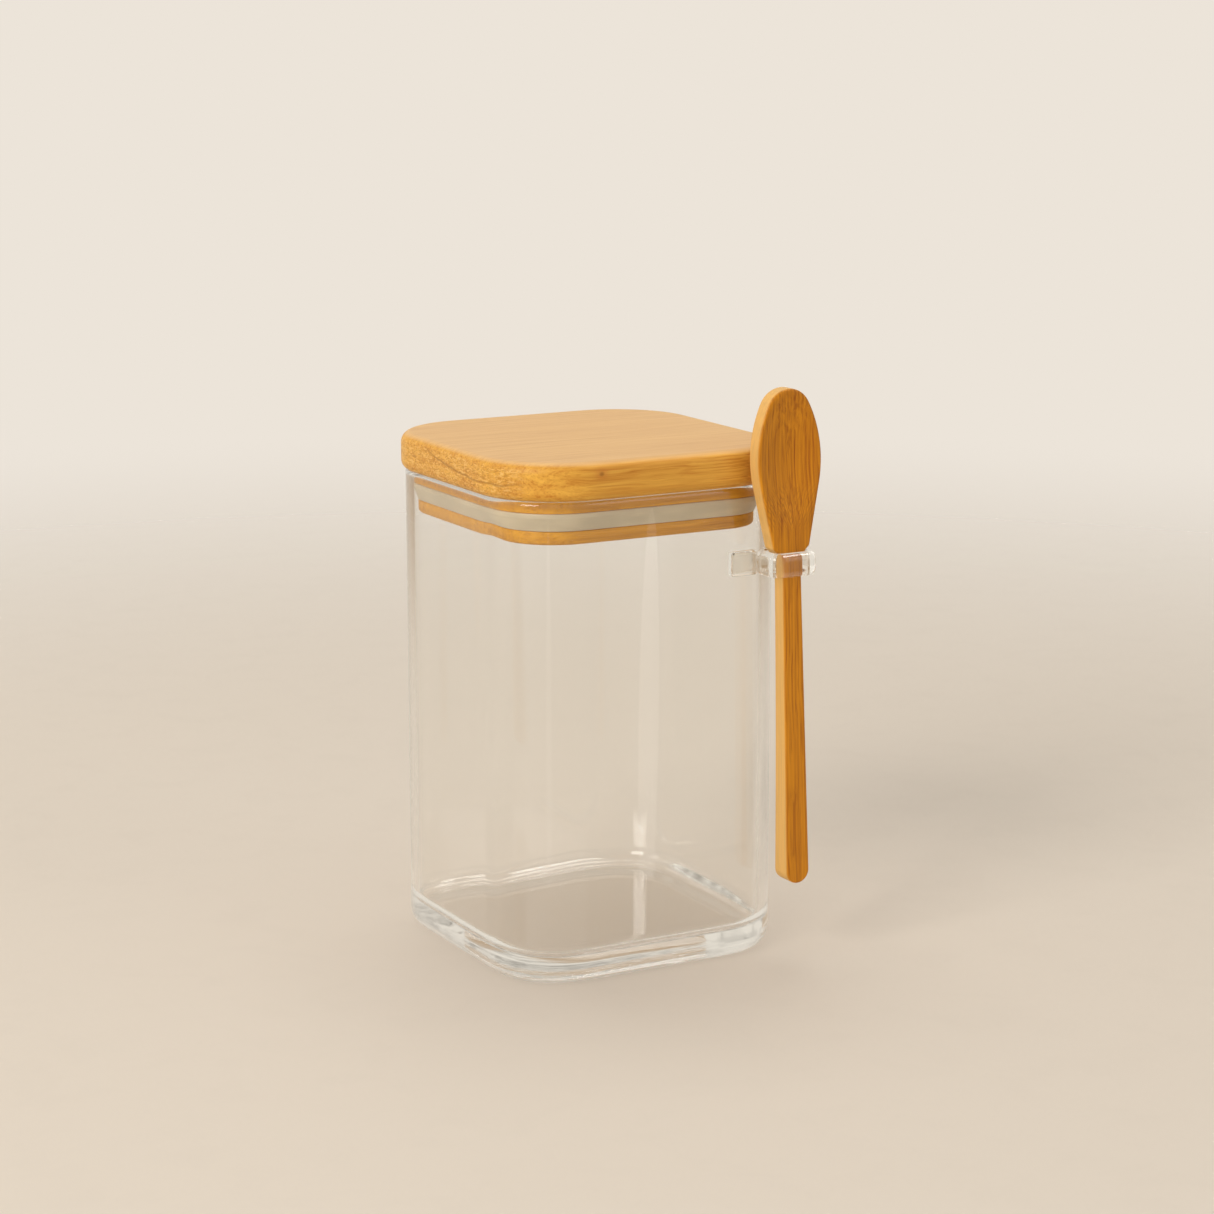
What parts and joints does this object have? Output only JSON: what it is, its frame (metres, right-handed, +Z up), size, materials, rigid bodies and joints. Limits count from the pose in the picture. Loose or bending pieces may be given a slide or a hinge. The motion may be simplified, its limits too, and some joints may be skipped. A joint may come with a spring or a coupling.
{
  "type": "food canister",
  "caption": "Square clear glass food canister with a bamboo plug lid, a silicone seal and a clear ring on its front that carries a bamboo spoon.",
  "frame": {"origin": "middle of the glass base, on the surface that the canister stands on", "axes": "+Z up, -Y towards the front, which carries the spoon holder near its +X end"},
  "size_m": [0.0882, 0.0981, 0.1581],
  "materials": {
    "clear_glass": "clear, fire-polished",
    "bamboo_lid": "oiled bamboo, satin",
    "bamboo_spoon": "oiled bamboo, satin",
    "silicone": "milky translucent, satin",
    "clear_acrylic": "clear, polished",
    "clear_adhesive": "clear, smooth"
  },
  "bodies": {
    "jar": {"glass_jar": "clear_glass", "adhesive_pad": "clear_adhesive", "spoon_holder": "clear_acrylic"},
    "lid": {"lid_board": "bamboo_lid", "lid_plug": "bamboo_lid", "lid_seal": "silicone"},
    "spoon": {"spoon": "bamboo_spoon"}
  },
  "joints": [
    {"name": "lid_lift", "type": "slide", "parent": "jar", "child": "lid", "axis": [0, 0, 1], "range_m": [0, 0.06]},
    {"name": "spoon_lift", "type": "slide", "parent": "jar", "child": "spoon", "axis": [-0.0366, 0, 0.9993], "range_m": [0, 0.105]}
  ]
}
